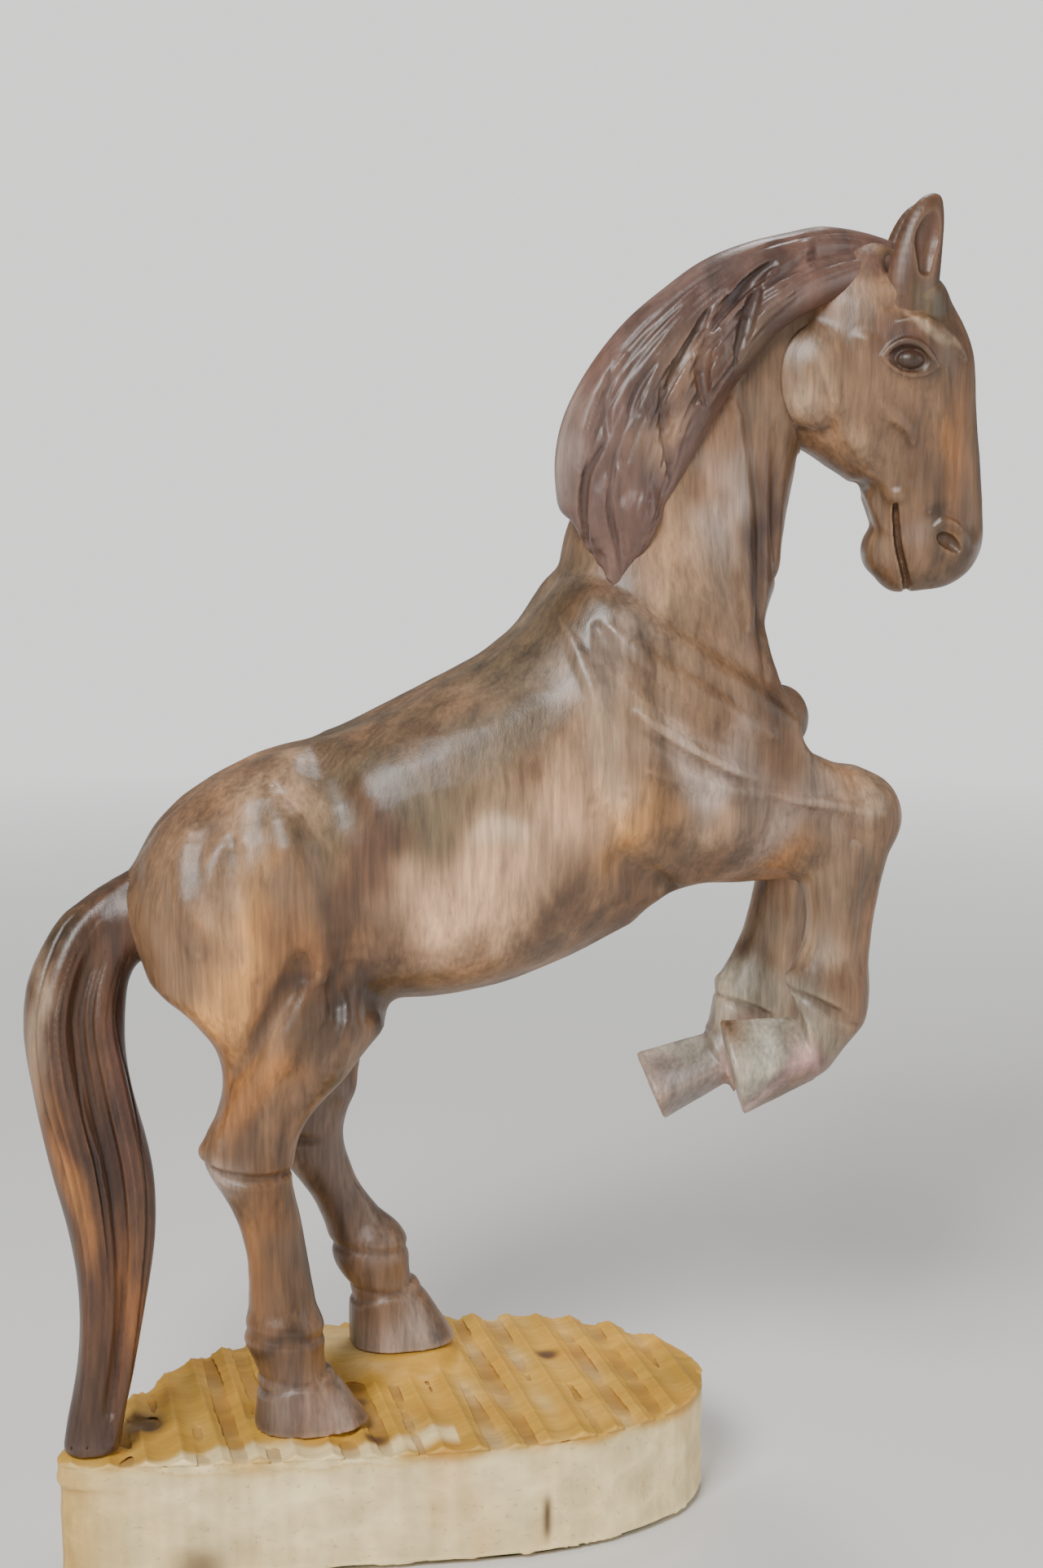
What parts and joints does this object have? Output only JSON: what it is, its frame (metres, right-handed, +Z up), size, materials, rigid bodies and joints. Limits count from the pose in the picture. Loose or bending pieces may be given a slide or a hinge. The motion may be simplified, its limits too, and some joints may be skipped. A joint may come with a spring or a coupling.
{
  "type": "carved rearing horse statue",
  "caption": "Free-standing carved wooden statue of a horse rearing on its hind legs, tail touching down, screwed to an oval timber slab whose top is cut with gouge flutes.",
  "frame": {"origin": "centre of the slab's felted underside, on the ground", "axes": "+Z up, +X the way the horse faces, +Y towards the horse's left side"},
  "size_m": [0.4773, 0.1658, 0.653],
  "materials": {
    "body_wood": "stained hardwood, waxed to a satin gloss, patchy tan, olive and orange-brown",
    "mane_wood": "stained hardwood, waxed, darker red-brown with dark grooves",
    "tail_wood": "stained hardwood, waxed, dark red-brown with an orange streak",
    "slab_wood": "pale unstained hardwood, golden gouged top and cream sawn sides, matt",
    "dowel_wood": "plain beech dowel",
    "zinc_steel": "zinc plated",
    "felt": "pressed wool felt"
  },
  "bodies": {
    "root": {"trunk_right": "body_wood", "trunk_left": "body_wood", "neck": "body_wood", "head": "body_wood", "ear_right": "body_wood", "ear_left": "body_wood", "forearm_right": "body_wood", "forearm_left": "body_wood", "foreleg_right": "body_wood", "foreleg_left": "body_wood", "hind_leg_right": "body_wood", "hind_leg_left": "body_wood", "mane": "mane_wood", "tail": "tail_wood", "base": "slab_wood", "trunk_dowels": "dowel_wood", "neck_dowels": "dowel_wood", "mane_dowels": "dowel_wood", "head_dowels": "dowel_wood", "ear_dowels": "dowel_wood", "forearm_dowels": "dowel_wood", "knee_dowels": "dowel_wood", "hind_leg_dowels": "dowel_wood", "tail_dowel": "dowel_wood", "hoof_screws": "zinc_steel", "screw_washers": "zinc_steel", "tail_screw": "zinc_steel", "felt_sheet": "felt"}
  },
  "joints": []
}
